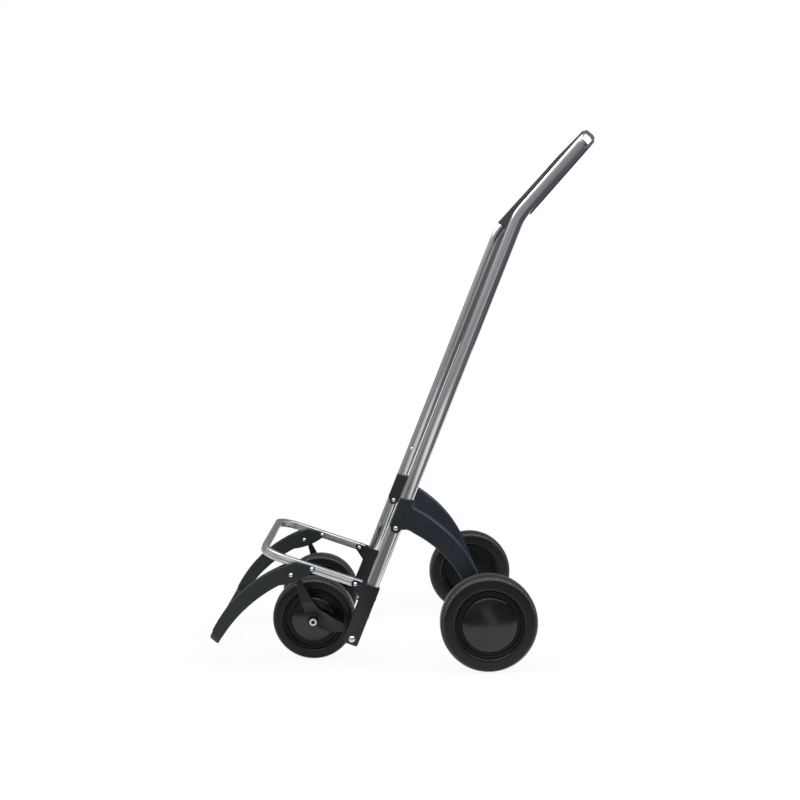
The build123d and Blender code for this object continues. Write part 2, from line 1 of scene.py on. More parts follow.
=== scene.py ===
import json
import bmesh
import bpy
import numpy as np
from mathutils import Matrix


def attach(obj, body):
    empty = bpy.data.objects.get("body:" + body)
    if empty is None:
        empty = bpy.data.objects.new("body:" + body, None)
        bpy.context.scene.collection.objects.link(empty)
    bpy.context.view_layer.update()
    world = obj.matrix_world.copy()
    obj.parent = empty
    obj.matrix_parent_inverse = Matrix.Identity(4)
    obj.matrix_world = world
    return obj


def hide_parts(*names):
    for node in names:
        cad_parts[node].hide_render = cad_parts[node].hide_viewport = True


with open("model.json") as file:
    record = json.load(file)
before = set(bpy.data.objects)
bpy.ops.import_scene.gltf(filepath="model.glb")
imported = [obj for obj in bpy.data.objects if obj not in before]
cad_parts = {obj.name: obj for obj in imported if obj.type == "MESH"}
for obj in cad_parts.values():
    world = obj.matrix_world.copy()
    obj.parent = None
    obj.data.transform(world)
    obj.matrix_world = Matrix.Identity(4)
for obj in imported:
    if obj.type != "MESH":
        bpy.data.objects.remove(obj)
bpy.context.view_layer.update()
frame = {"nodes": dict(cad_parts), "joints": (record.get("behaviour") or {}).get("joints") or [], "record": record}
nodes = frame["nodes"]
print("frame loaded with", len(nodes), "nodes")

# Side view of the frame in millimetres: first number back, second number up.
metre = 1000
layout = dict(legLean=67.65, platformRise=19.9, halfWidth=150)
pivot = {joint["name"]: np.array(joint["pos_m"])[[0, 2]] * metre for joint in frame["joints"]}
frontAxle = pivot["front_wheel_spin_left"]
rearAxle = pivot["rear_wheel_spin_left"]
bottomPivot = pivot["fork_swing"]
platformPivot = pivot["platform_fold"]
footPivot = pivot["foot_turn"]
armPivot = pivot["rear_arm_swing"]
sides = {"left": -1, "right": 1}


# Side view step of a length, at an angle up from the way back.
def polar(length, degrees):
    return length * np.array([np.cos(np.radians(degrees)), np.sin(np.radians(degrees))])


legUp = polar(1, layout["legLean"])
legFront = polar(1, layout["legLean"] + 90)
railFront = polar(1, 180 - layout["platformRise"])
railUp = polar(1, 90 - layout["platformRise"])


# Place so far up the leg's line and so far in front of it.
def onLeg(up, front):
    return bottomPivot + legUp * up + legFront * front


# Place so far forward along the rail's line and so far above it.
def onRail(along, above):
    return platformPivot + railFront * along + railUp * above


# Side view points, given their place across the frame.
def at(flat, across):
    return np.stack([flat[..., 0], np.broadcast_to(across, flat.shape[:-1]), flat[..., 1]], -1)


# Vectors divided by their own lengths.
def unit(vector):
    return vector / np.linalg.norm(vector, axis=-1, keepdims=True)


# Route through corner points: straight runs joined by arcs that touch both runs.
def bentRoute(corners, radii, steps=18):
    corners = np.asarray(corners, float)
    runs = unit(np.diff(corners, axis=0))
    points, tangents = [corners[:1]], [runs[:1]]
    for corner, into, out, radius in zip(corners[1:], runs, runs[1:], radii):
        turn = np.arccos(into @ out)
        inward = unit(out - into * (into @ out))
        angle = np.linspace(0, turn, steps)[:, None]
        start = corner - into * radius * np.tan(turn / 2)
        points.append(start + radius * (np.sin(angle) * into + (1 - np.cos(angle)) * inward))
        tangents.append(np.cos(angle) * into + np.sin(angle) * inward)
    points.append(corners[-1:])
    tangents.append(runs[-1:])
    return np.concatenate(points), np.concatenate(tangents)


# Section carried along a route: its first number runs along the front direction, its second across it.
def carried(points, tangents, fronts, section):
    across = np.cross(tangents, fronts)
    return points[:, None] + section[..., :1] * fronts[:, None] + section[..., 1:] * across[:, None]


# Section turned round an axle: each row holds one angle, each column one (across, radius) pair.
def turned(axle, section, steps):
    angle = np.linspace(0, 2 * np.pi, steps, endpoint=False)[:, None]
    across, radius = section[..., 0], section[..., 1]
    back = axle[0] + radius * np.cos(angle)
    up = axle[1] + radius * np.sin(angle)
    return np.stack([back, np.broadcast_to(across, back.shape), up], -1)


# Superellipse: each half axis times a power of the cosine or sine of the angle round it.
def superellipse(halfA, halfB, power, steps):
    angle = np.linspace(0, 2 * np.pi, steps, endpoint=False)
    a = halfA * np.sign(np.cos(angle)) * np.abs(np.cos(angle)) ** (2 / power)
    b = halfB * np.sign(np.sin(angle)) * np.abs(np.sin(angle)) ** (2 / power)
    return np.stack([a, b], -1)


# Closed outline through corner points, each rounded by its own radius.
def roundedOutline(corners, radii, steps=8):
    corners = np.asarray(corners, float)
    radii = np.broadcast_to(np.asarray(radii, float), len(corners))[:, None, None]
    into = unit(corners - np.roll(corners, 1, 0))
    out = np.roll(into, -1, 0)
    turn = np.arccos(np.clip((into * out).sum(1), -1, 1))[:, None, None]
    inward = unit(out - into * (into * out).sum(1, keepdims=True))[:, None]
    angle = turn * np.linspace(0, 1, steps)[None, :, None]
    start = corners[:, None] - into[:, None] * radii * np.tan(turn / 2)
    arcs = start + radii * (np.sin(angle) * into[:, None] + (1 - np.cos(angle)) * inward)
    return arcs.reshape(-1, 2)


# Volume inside a closed grid: a sixth of the triple products of its triangles, added up.
# It is positive where the faces point outwards.
def signedVolume(flat, quads, ends):
    flat = flat - flat.mean(0)
    fans = [np.stack([np.full(len(end) - 2, end[0]), end[1:-1], end[2:]], -1) for end in ends]
    triangles = flat[np.concatenate([quads[:, :3], quads[:, [0, 2, 3]], *fans])]
    return np.einsum("ij,ij->", triangles[:, 0], np.cross(triangles[:, 1], triangles[:, 2])) / 6


# Faces of a closed grid of points, turned outwards, with texture places in metres along rows and columns.
def gridFaces(points, loopRows=False, loopColumns=True, caps=False):
    rows, columns = points.shape[:2]
    index = np.arange(rows * columns).reshape(rows, columns)
    ends = [index[0, ::-1], index[-1]] if caps else []
    if loopColumns:
        index = np.concatenate([index, index[:, :1]], 1)
    if loopRows:
        index = np.concatenate([index, index[:1]])
    flat = points.reshape(-1, 3)
    stepV = np.linalg.norm(np.diff(flat[index[0]], axis=0), axis=1)
    stepU = np.linalg.norm(np.diff(flat[index].mean(1), axis=0), axis=1)
    if loopRows:
        stepU = np.linalg.norm(np.diff(flat[index[:, 0]], axis=0), axis=1)
    u = np.concatenate([[0], np.cumsum(stepU)]) / metre
    v = np.concatenate([[0], np.cumsum(stepV)]) / metre
    place = np.stack(np.meshgrid(u, v, indexing="ij"), -1)

    def corners(grid):
        return np.stack([grid[:-1, :-1], grid[:-1, 1:], grid[1:, 1:], grid[1:, :-1]], 2)

    quads = corners(index).reshape(-1, 4)
    way = 1 if signedVolume(flat, quads, ends) > 0 else -1
    uv = corners(place)[:, :, ::way].reshape(-1, 2)
    uv = np.concatenate([uv, np.zeros((sum(map(len, ends)), 2))])
    return flat, quads[:, ::way], [end[::way] for end in ends], uv


# New object in the scene, at the origin.
def linked(name, data):
    item = bpy.data.objects.new(name, data)
    bpy.context.scene.collection.objects.link(item)
    return item


# A mesh as a piece that rides on a body in place of its nodes.
def mounted(name, mesh, body, replaced):
    piece = linked(name, mesh)
    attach(piece, body)
    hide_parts(*replaced)
    return piece


# One piece from several grids. Points that fall together, at seams and poles, become one.
def addPiece(name, grids, material, body, replaced, sharpAngle=40, worn=None):
    mesh = bpy.data.meshes.new(name)
    verts, faces, places, count = [], [], [], 0
    for flat, quads, ends, uv in grids:
        verts.append(flat)
        faces += (quads + count).tolist() + [(end + count).tolist() for end in ends]
        places.append(uv)
        count += len(flat)
    mesh.from_pydata((np.concatenate(verts) / metre).tolist(), [], faces)
    uvMap = mesh.uv_layers.new(name="along")
    uvMap.data.foreach_set("uv", np.concatenate(places).ravel())
    if worn is not None:
        mesh.attributes.new("worn", "FLOAT", "POINT").data.foreach_set("value", worn.ravel())
    mesh.polygons.foreach_set("use_smooth", np.ones(len(mesh.polygons), bool))
    work = bmesh.new()
    work.from_mesh(mesh)
    bmesh.ops.remove_doubles(work, verts=work.verts, dist=1e-6)
    work.to_mesh(mesh)
    work.free()
    mesh.set_sharp_from_angle(angle=np.radians(sharpAngle))
    mesh.materials.append(material)
    return mounted(name, mesh, body, replaced)


# Circle through three points, as its middle and radius.
def circleThrough(a, b, c):
    rows = 2 * np.array([b - a, c - a])
    middle = np.linalg.solve(rows, [b @ b - a @ a, c @ c - a @ a])
    return middle, np.linalg.norm(a - middle)


# Arc from the first point through the second to the third.
def arcThrough(a, b, c, steps=48):
    middle, radius = circleThrough(a, b, c)
    start, _, end = np.unwrap([np.arctan2(*(point - middle)[::-1]) for point in (a, b, c)])
    angle = np.linspace(start, end, steps)
    return middle + radius * np.stack([np.cos(angle), np.sin(angle)], -1)


# Arc of a given radius between two points, bulging to the left of the way for a positive radius.
def arcBulging(a, b, radius):
    half = (b - a) / 2
    rise = np.sign(radius) * (abs(radius) - np.sqrt(radius ** 2 - half @ half))
    return arcThrough(a, a + half + rise * unit(np.array([-half[1], half[0]])), b)


# Arc about a point, between two angles in degrees.
def roundAbout(point, radius, start, end, steps=24):
    angle = np.radians(np.linspace(start, end, steps))
    return point + radius * np.stack([np.cos(angle), np.sin(angle)], -1)


# Line at even steps of its length.
def spaced(line, count):
    run = np.concatenate([[0], np.cumsum(np.linalg.norm(np.diff(line, axis=0), axis=1))])
    place = np.linspace(0, run[-1], count)
    return np.stack([np.interp(place, run, line[:, 0]), np.interp(place, run, line[:, 1])], -1)


# Closed outline at even steps, its corners softened by a bell-shaped average over the given length.
def evened(parts, soften):
    loop = np.concatenate([np.atleast_2d(part) for part in parts])
    loop = np.concatenate([loop, loop[:1]])
    length = np.linalg.norm(np.diff(loop, axis=0), axis=1).sum()
    count = int(length)
    even = spaced(loop, count + 1)[:-1]
    wave = np.fft.rfftfreq(count, length / count)[:, None]
    bell = np.exp(-2 * (np.pi * wave * soften) ** 2)
    return np.fft.irfft(np.fft.rfft(even, axis=0) * bell, count, axis=0)


# The part of an outline on the side of a line that its normal points to.
def clipped(outline, point, normal):
    depth = (outline - point) @ normal
    after = np.roll(depth, -1)
    share = depth / np.where(depth == after, 1, depth - after)
    crossing = outline + share[:, None] * (np.roll(outline, -1, 0) - outline)
    kept = np.stack([depth >= 0, (depth >= 0) != (after >= 0)], 1).ravel()
    return np.stack([outline, crossing], 1).reshape(-1, 2)[kept]


# Which way round an outline runs: the sign of its area, from cross products of neighbouring points.
def wayRound(outline):
    after = np.roll(outline, -1, 0)
    return np.sign(np.sum(outline[:, 0] * after[:, 1] - outline[:, 1] * after[:, 0]))


# How far an edge rounded by a radius is drawn in at a depth below its face.
def drawnIn(depth, radius):
    return radius - np.sqrt(radius ** 2 - np.clip(radius - depth, 0, None) ** 2)


edge = dict(share=0.7, leastTurn=0.02, reach=5, ease=3)


# Edge radii along an outline: no more than a share of the outline's own radius where it turns outwards.
# The limit is the least one within reach, and the result is averaged over near points.
def edgeRadii(outline, wanted):
    into = outline - np.roll(outline, 1, 0)
    out = np.roll(into, -1, 0)
    turn = wayRound(outline) * (into[:, 0] * out[:, 1] - into[:, 1] * out[:, 0])
    turn = turn / np.linalg.norm(out, axis=1) ** 3
    limit = edge["share"] / np.clip(turn, edge["leastTurn"], None)
    reached = range(-edge["reach"], edge["reach"] + 1)
    radii = np.minimum(wanted, np.min([np.roll(limit, shift) for shift in reached], 0))
    averaged = range(-edge["ease"], edge["ease"] + 1)
    return np.mean([np.roll(radii, shift) for shift in averaged], 0)


# Layer: an outline carried across through rings, each drawn in by the rounded edge at its depth.
def layer(outline, side, across, depth, radii, inset):
    into = unit(outline - np.roll(outline, 1, 0))
    way = unit(into + np.roll(into, -1, 0))
    inward = wayRound(outline) * np.stack([-way[:, 1], way[:, 0]], -1)
    shift = drawnIn(depth[:, None], radii[None]) + np.reshape(inset, (-1, 1))
    flat = outline[None] + inward[None] * shift[..., None]
    return gridFaces(at(flat, side * across[:, None]), caps=True)


# Rectangles with round corners, one for each row of half heights, half widths and corner radii,
# with points on the flats.
def roundedBars(halfA, halfB, radius, steps=6, onFlat=0):
    halfA, halfB, radius = (np.atleast_1d(value)[:, None, None] for value in (halfA, halfB, radius))
    tiny = 0.001  # keeps each corner's angles within its own quarter
    angle = np.arange(4)[:, None] * np.pi / 2 + np.linspace(tiny, np.pi / 2 - tiny, steps)
    a = np.sign(np.cos(angle)) * (halfA - radius) + radius * np.cos(angle)
    b = np.sign(np.sin(angle)) * (halfB - radius) + radius * np.sin(angle)
    corners = np.stack([a, b], -1)
    share = np.linspace(0, 1, onFlat + 2)[1:-1, None]
    flats = corners[:, :, -1:] * (1 - share) + np.roll(corners[:, :, :1], -1, 1) * share
    return np.concatenate([corners, flats], 2).reshape(len(halfA), -1, 2)


# Materials: noise is sized per metre, relief is a height in metres.
texture = dict(tubeCloud=(9, 60, 1), tubeRelief=0.0002, mouldCloud=14, mouldRelief=0.0003,
               steelCloud=260, steelBump=0.05, steelRelief=0.0002)


# New material and its shader, with sockets set by name; _ stands for a space.
def newMaterial(name, **sockets):
    material = bpy.data.materials.new(name)
    material.use_nodes = True
    tree = material.node_tree
    shader = tree.nodes["Principled BSDF"]
    for socket, value in sockets.items():
        shader.inputs[socket.replace("_", " ")].default_value = value
    return material, tree, shader


# New node; each value sets the socket of that name, or else the setting.
def addNode(tree, kind, **values):
    node = tree.nodes.new(kind)
    for key, value in values.items():
        if key in node.inputs:
            node.inputs[key].default_value = value
        else:
            setattr(node, key, value)
    return node


# Noise read at places that are stretched by the given scale; returns its factor output.
def noiseAt(tree, source, scale, detail=3):
    place = addNode(tree, "ShaderNodeTexCoord")
    mapping = addNode(tree, "ShaderNodeMapping", Scale=scale)
    noise = addNode(tree, "ShaderNodeTexNoise", Scale=1, Detail=detail, Roughness=0.55)
    tree.links.new(place.outputs[source], mapping.inputs["Vector"])
    tree.links.new(mapping.outputs["Vector"], noise.inputs["Vector"])
    return noise.outputs["Fac"]


# A factor spread between two colours.
def ramp(tree, factor, low, high, start=0.3, end=0.7):
    node = addNode(tree, "ShaderNodeValToRGB")
    node.color_ramp.elements[0].position = start
    node.color_ramp.elements[1].position = end
    node.color_ramp.elements[0].color = (*low, 1)
    node.color_ramp.elements[1].color = (*high, 1)
    tree.links.new(factor, node.inputs["Fac"])
    return node.outputs["Color"]


# A factor spread between two numbers.
def spread(tree, factor, low, high, start=0.3, end=0.7):
    node = addNode(tree, "ShaderNodeMapRange")
    for key, value in {"From Min": start, "From Max": end, "To Min": low, "To Max": high}.items():
        node.inputs[key].default_value = value
    tree.links.new(factor, node.inputs["Value"])
    return node.outputs["Result"]


# Fine relief on a shader's normal.
def bump(tree, shader, height, strength, distance):
    node = addNode(tree, "ShaderNodeBump", Strength=strength, Distance=distance)
    tree.links.new(height, node.inputs["Height"])
    tree.links.new(node.outputs["Normal"], shader.inputs["Normal"])


# Metal with fine lines along the tube and a cloudy roughness. The dark and light streaks in its colour are partly
# drawn lines and partly painted reflections.
def drawnTubeWithPaintedReflections(name, look):
    material, tree, shader = newMaterial(name, Metallic=1.0)
    lines = noiseAt(tree, "UV", (look["along"], look["across"], 1), detail=2)
    cloud = noiseAt(tree, "UV", texture["tubeCloud"])
    tree.links.new(ramp(tree, lines, look["dark"], look["light"]), shader.inputs["Base Color"])
    tree.links.new(spread(tree, cloud, *look["roughness"]), shader.inputs["Roughness"])
    bump(tree, shader, lines, look["lines"], texture["tubeRelief"])
    return material


# Plastic or rubber with a cloudy colour and a moulded grain.
def moulded(name, look):
    material, tree, shader = newMaterial(name, Roughness=look["roughness"][0])
    shader.inputs["Specular IOR Level"].default_value = look.get("specular", 0.5)
    shader.inputs["Sheen Weight"].default_value = look.get("sheen", 0)
    grain = noiseAt(tree, "Object", (look["grain"],) * 3, detail=4)
    cloud = noiseAt(tree, "Object", (texture["mouldCloud"],) * 3)
    tree.links.new(ramp(tree, cloud, look["dark"], look["light"]), shader.inputs["Base Color"])
    tree.links.new(spread(tree, grain, *look["roughness"]), shader.inputs["Roughness"])
    bump(tree, shader, grain, look["relief"], texture["mouldRelief"])
    return material


# Rubber that shines where its ribs are worn.
def wornRubber(name, look):
    material = moulded(name, look)
    tree = material.node_tree
    worn = addNode(tree, "ShaderNodeAttribute", attribute_name="worn").outputs["Fac"]
    shine = spread(tree, worn, look["specular"], look["wornSpecular"], start=0, end=1)
    tree.links.new(shine, tree.nodes["Principled BSDF"].inputs["Specular IOR Level"])
    return material


# Plated metal with a cloudy colour and roughness.
def platedSteel(name, look):
    material, tree, shader = newMaterial(name, Metallic=1.0)
    cloud = noiseAt(tree, "Object", (texture["steelCloud"],) * 3)
    tree.links.new(ramp(tree, cloud, look["dark"], look["light"]), shader.inputs["Base Color"])
    tree.links.new(spread(tree, cloud, *look["roughness"]), shader.inputs["Roughness"])
    bump(tree, shader, cloud, texture["steelBump"], texture["steelRelief"])
    return material


finishes = {
    # legs and handle: their colour streaks are partly painted reflections
    "polished_aluminium": drawnTubeWithPaintedReflections("polishedTube", dict(
        along=2, across=320, dark=(0.46, 0.46, 0.48), light=(0.86, 0.86, 0.86),
        roughness=(0.05, 0.12), lines=0.12)),
    "grip_plastic": moulded("gripBlack", dict(
        dark=(0.026, 0.026, 0.026), light=(0.037, 0.037, 0.037),
        roughness=(0.45, 0.6), grain=900, relief=0.15)),
    "foot_plastic": moulded("footCharcoal", dict(
        dark=(0.008, 0.0125, 0.0105), light=(0.018, 0.0235, 0.021),
        roughness=(0.45, 0.62), grain=700, relief=0.35, specular=0.4)),
    "bracket_plastic": moulded("bracketBlack", dict(
        dark=(0.006, 0.0075, 0.009), light=(0.010, 0.0115, 0.0135),
        roughness=(0.34, 0.46), grain=800, relief=0.12, specular=0.38)),
    "tyre_rubber": wornRubber("tyreRubber", dict(
        dark=(0.003, 0.0045, 0.0035), light=(0.006, 0.008, 0.006),
        roughness=(0.26, 0.38), grain=500, relief=0.12, specular=0.24, wornSpecular=1, sheen=0.12)),
    "rim_plastic": moulded("rimBlack", dict(
        dark=(0.004, 0.004, 0.0035), light=(0.007, 0.007, 0.006),
        roughness=(0.26, 0.36), grain=500, relief=0.08, specular=0.16)),
    "cap_plastic": moulded("capGloss", dict(
        dark=(0.004, 0.004, 0.0035), light=(0.006, 0.006, 0.0052),
        roughness=(0.14, 0.18), grain=300, relief=0.01)),
    "bush_plastic": moulded("bushNylon", dict(
        dark=(0.55, 0.55, 0.53), light=(0.66, 0.66, 0.63),
        roughness=(0.4, 0.5), grain=500, relief=0.08)),
    "steel": platedSteel("plainZinc", dict(
        dark=(0.42, 0.42, 0.43), light=(0.56, 0.56, 0.56), roughness=(0.3, 0.45))),
    "bright_steel": platedSteel("brightRivet", dict(
        dark=(0.52, 0.52, 0.52), light=(0.7, 0.7, 0.7), roughness=(0.16, 0.3))),
}
# hoop tube: its colour streaks are partly painted reflections
satinTube = drawnTubeWithPaintedReflections("satinTube", dict(
    along=2, across=420, dark=(0.36, 0.36, 0.39), light=(0.96, 0.96, 0.96),
    roughness=(0.3, 0.4), lines=0.12))
# Bracket black copied for the arms with a higher specular; its stronger blue tint is painted blue side light
armBlackPaintedBlueLight = moulded("armBlackPaintedBlueLight", dict(
    dark=(0.008, 0.0125, 0.018), light=(0.013, 0.0185, 0.026),
    roughness=(0.32, 0.44), grain=800, relief=0.12))
for entry in frame["record"]["subparts"]:
    mesh = nodes[entry["node"]].data
    mesh.materials.clear()
    mesh.materials.append(finishes[entry["material_slot"]])
print("finishes on every node")

# Handle: one tube bent back above the legs and round two corners, with a grip strip inside the loop.
handle = dict(depth=24.5, width=14, power=3.2, start=40.5, ahead=0.4, bendUp=842, bendRadius=90, slope=47.6,
              length=200, corner=32, sectionSteps=96)
grip = dict(start=19, frontLip=4.5, topLip=2.2, backLip=2.6, wall=2.4, wrap=1, gap=0.1, edge=1, lipEdge=0.3,
            seatEdge=4.5, thinOver=0.5)
handleUp = polar(1, handle["slope"])
handleFront = at(polar(1, handle["slope"] + 90), 0)
bendPoint = onLeg(handle["bendUp"], handle["ahead"])
loopTop = bendPoint + handleUp * handle["length"]


# Route up the left side, across the loop and down the right side. The section's front stands square to the
# tube in the side view, and keeps the handle's slope on the way across.
def loopRoute(corners, radii):
    left = [at(point, -layout["halfWidth"]) for point in corners]
    right = [at(point, layout["halfWidth"]) for point in reversed(corners)]
    points, tangents = bentRoute(left + right, radii)
    lean = at(tangents[:, [2, 0]] * [-1, 1], 0)
    lean *= np.sign(lean @ handleFront)[:, None]
    goesAcross = np.abs(tangents[:, 1:2]) > 1e-6
    return points, tangents, unit(np.where(goesAcross, handleFront, lean))


tubeSection = superellipse(handle["depth"] / 2, handle["width"] / 2, handle["power"], handle["sectionSteps"])
tubeRoute = loopRoute([onLeg(handle["start"], handle["ahead"]), bendPoint, loopTop],
                      [handle["bendRadius"], handle["corner"], handle["corner"], handle["bendRadius"]])
addPiece("handleTube", [gridFaces(carried(*tubeRoute, tubeSection), caps=True)],
         finishes["polished_aluminium"], "frame", ["handle_tube"])


# Channel round the tube's inner side, open towards the outside, with a front lip of the given height.
def gripSection(lip):
    front = handle["depth"] / 2 + grip["gap"]
    inner = -handle["width"] / 2 - grip["gap"]
    under = inner - grip["wall"]
    back = -front - grip["backLip"]
    corners = [(front, grip["wrap"]), (front + lip, grip["wrap"]), (front + lip, under), (back, under),
               (back, grip["wrap"]), (-front, grip["wrap"]), (-front, inner), (front, inner)]
    radii = [grip["lipEdge"], *[grip["edge"]] * 4, grip["lipEdge"], grip["seatEdge"], grip["seatEdge"]]
    return roundedOutline(corners, radii)


gripRoute = loopRoute([bendPoint + handleUp * grip["start"], loopTop], [handle["corner"], handle["corner"]])
gripHeight = gripRoute[0][:, 2]
thinning = (gripHeight - gripHeight.min()) / np.ptp(gripHeight) / grip["thinOver"]
thinning = np.clip(thinning, 0, 1)[:, None, None]
lipSection = gripSection(grip["frontLip"]) * (1 - thinning) + gripSection(grip["topLip"]) * thinning
addPiece("handleGrip", [gridFaces(carried(*gripRoute, lipSection), caps=True)], finishes["grip_plastic"],
         "frame", ["handle_grip"])
print("handle bent")

# Platform hoop: a tube with fine grooves along both sides of its straight runs. Each groove is a bell of a
# power of the distance from its line, and fades where the tube turns across.
hoop = dict(height=16, width=13, power=5, back=11, above=0.55, length=183, corner=42, cornerSteps=28,
            grooves=(-3.6, 0, 3.6), grooveHalf=0.45, groovePower=4, grooveOut=0.5, grooveIn=0.15, sideFrom=4,
            fade=3, sectionSteps=240)
railSection = superellipse(hoop["height"] / 2, hoop["width"] / 2, hoop["power"], hoop["sectionSteps"])
fromGroove = (railSection[:, :1] - np.array(hoop["grooves"])) / hoop["grooveHalf"]
outerCut = np.where(railSection[:, 1] < -hoop["sideFrom"], hoop["grooveOut"], 0)
innerCut = np.where(railSection[:, 1] > hoop["sideFrom"], hoop["grooveIn"], 0)
cut = np.exp(-fromGroove ** hoop["groovePower"]).sum(1) * (outerCut - innerCut)
railBack = onRail(-hoop["back"], hoop["above"])
railTip = onRail(hoop["length"], hoop["above"])
railCorners = [at(railBack, -layout["halfWidth"]), at(railTip, -layout["halfWidth"]),
               at(railTip, layout["halfWidth"]), at(railBack, layout["halfWidth"])]
railPoints, railTangents = bentRoute(railCorners, [hoop["corner"]] * 2, steps=hoop["cornerSteps"])
railFronts = np.broadcast_to(at(railUp, 0), railPoints.shape)
straight = np.clip(1 - hoop["fade"] * np.abs(railTangents[:, 1]), 0, 1)[:, None]
grooved = railSection + (straight * cut)[..., None] * [0, 1]
addPiece("platformHoop", [gridFaces(carried(railPoints, railTangents, railFronts, grooved), caps=True)],
         satinTube, "platform", ["platform_hoop"], sharpAngle=60)
print("hoop bent")

# Wheels: tyre with cross ribs, rim with a bead on both edges, domed hub cap.
wheels = {
    "front": dict(axle=frontAxle, radius=79.2, seat=57, cap=42, capHole=11.5, middle=94.5, ribs=112),
    "rear": dict(axle=rearAxle, radius=90, seat=62, cap=50, capHole=0, middle=189, ribs=128),
}
tyre = dict(width=42, topPower=3.1, basePower=5, ribDepth=1.4, ribStart=0.5, ribRise=0.15, ribEnd=0.99,
            ribFall=0.08, grooveMean=0.25, grooveSwing=1.2, perRib=8, sectionSteps=96)
rim = dict(hub=8.2, boss=13.5, bossFoot=1, bossFront=10, web=3, face=18.8, groove=15.2, ledge=15.8,
           backWeb=9, backWall=7, backGroove=5, backBead=4.3, bead=0.5, beadTop=0.3, bed=12, bedDeep=2,
           frontBead=4, ledgeTop=5.5, capGap=0.5, capStep=0.2, capWall=5, capWeb=6, steps=160)
cap = dict(base=16.5, seat=18, crown=4.2, lip=2, lipPower=10, crownEnd=0.9, crownSteps=24, edgeStart=1.12,
           edgeSteps=20, underSteps=12, steps=160)


# Section of (across, radius) pairs moved to a wheel's own place across.
def onWheel(wheel, side, section):
    return np.stack([side * (wheel["middle"] + section[..., 0]), section[..., 1]], -1)


# Tyre: a superellipse section turned round the axle and drawn in at each groove between ribs. The grooves
# are a clipped cosine of the angle times the number of ribs, and fade at the tread's middle and sides.
def ribbedTyre(end, name, side):
    wheel = wheels[end]
    steps = wheel["ribs"] * tyre["perRib"]
    half = (wheel["radius"] - wheel["seat"]) / 2
    # the section's first number is across the wheel, its second above the middle of the tyre
    tread = superellipse(tyre["width"] / 2, half, tyre["topPower"], tyre["sectionSteps"])
    base = superellipse(tyre["width"] / 2, half, tyre["basePower"], tyre["sectionSteps"])
    section = np.where(tread[:, 1:] > 0, tread, base)[None]
    angle = np.linspace(0, 2 * np.pi, steps, endpoint=False)[:, None, None]
    height = section[..., 1:] / half
    onTread = np.clip((height - tyre["ribStart"]) / tyre["ribRise"], 0, 1)
    onTread = onTread * np.clip((tyre["ribEnd"] - height) / tyre["ribFall"], 0, 1)
    groove = np.clip(tyre["grooveMean"] - tyre["grooveSwing"] * np.cos(angle * wheel["ribs"]), 0, 1)
    section = section * (1 - tyre["ribDepth"] * onTread * groove / half)
    section = section + [0, (wheel["radius"] + wheel["seat"]) / 2]
    grid = turned(wheel["axle"], onWheel(wheel, side, section), steps)
    addPiece(f"{end}Tyre_{name}", [gridFaces(grid, loopRows=True)], finishes["tyre_rubber"],
             f"{end}_wheel_{name}", [f"{end}_tyre_{name}"], sharpAngle=70,
             worn=(onTread * (1 - groove))[..., 0])


# Rim: a rounded section turned round the axle. Its corners are (across, radius, rounding), from the hub's
# back out to the tyre's bed and down the front to the hub again.
def beadedRim(end, name, side):
    wheel = wheels[end]
    seat, capEdge, face, groove, web = wheel["seat"], wheel["cap"], rim["face"], rim["groove"], rim["web"]
    bossFoot = rim["boss"] + rim["bossFoot"]
    corners = np.array([
        (-face, rim["hub"], 0.6), (-face, rim["boss"], 0.8),
        (-web, bossFoot, 2), (-web, seat - rim["backWeb"], 3),
        (-groove, seat - rim["backWall"], 0.8), (-groove, seat - rim["backGroove"], 0.6),
        (-face, seat - rim["backBead"], 0.9), (-face, seat - rim["bead"], 0.9),
        (-groove, seat + rim["beadTop"], 0.3), (-rim["bed"], seat - rim["bedDeep"], 0.5),
        (rim["bed"], seat - rim["bedDeep"], 0.5), (groove, seat + rim["beadTop"], 0.3),
        (face, seat - rim["bead"], 0.9), (face, seat - rim["frontBead"], 1),
        (rim["ledge"], seat - rim["ledgeTop"], 1), (rim["ledge"], capEdge + rim["capGap"], 0.2),
        (groove, capEdge + rim["capStep"], 0.2), (groove, capEdge - rim["capWall"], 0.6),
        (web, capEdge - rim["capWeb"], 2), (web, bossFoot, 2),
        (rim["bossFront"], rim["boss"], 0.8), (rim["bossFront"], rim["hub"], 0.6)])
    section = roundedOutline(corners[:, :2], corners[:, 2], steps=5)
    grid = turned(wheel["axle"], onWheel(wheel, side, section), rim["steps"])
    addPiece(f"{end}Rim_{name}", [gridFaces(grid, loopRows=True)], finishes["rim_plastic"],
             f"{end}_wheel_{name}", [f"{end}_rim_{name}"])


# Dome: the seat, plus a crown falling with the square of the radius, plus a lip that drops at the edge.
def domedCap(end, name, side):
    wheel = wheels[end]
    crownShare = np.linspace(wheel["capHole"] / wheel["cap"], cap["crownEnd"], cap["crownSteps"])
    edgeShare = np.sin(np.linspace(cap["edgeStart"], np.pi / 2, cap["edgeSteps"]))
    share = np.concatenate([crownShare, edgeShare])
    dome = cap["seat"] + cap["crown"] * (1 - share ** 2) + cap["lip"] * np.sqrt(1 - share ** cap["lipPower"])
    underShare = np.linspace(1, share[0], cap["underSteps"])
    top = np.stack([dome, wheel["cap"] * share], -1)
    under = np.stack([np.full(cap["underSteps"], cap["base"]), wheel["cap"] * underShare], -1)
    section = np.concatenate([top, under])
    grid = turned(wheel["axle"], onWheel(wheel, side, section), cap["steps"])
    addPiece(f"{end}Cap_{name}", [gridFaces(grid, loopRows=True, loopColumns=wheel["capHole"] > 0)],
             finishes["cap_plastic"], f"{end}_wheel_{name}", [f"{end}_hub_cap_{name}"],
             sharpAngle=60)


for name, side in sides.items():
    for end in wheels:
        ribbedTyre(end, name, side)
        beadedRim(end, name, side)
        domedCap(end, name, side)
print("wheels turned")

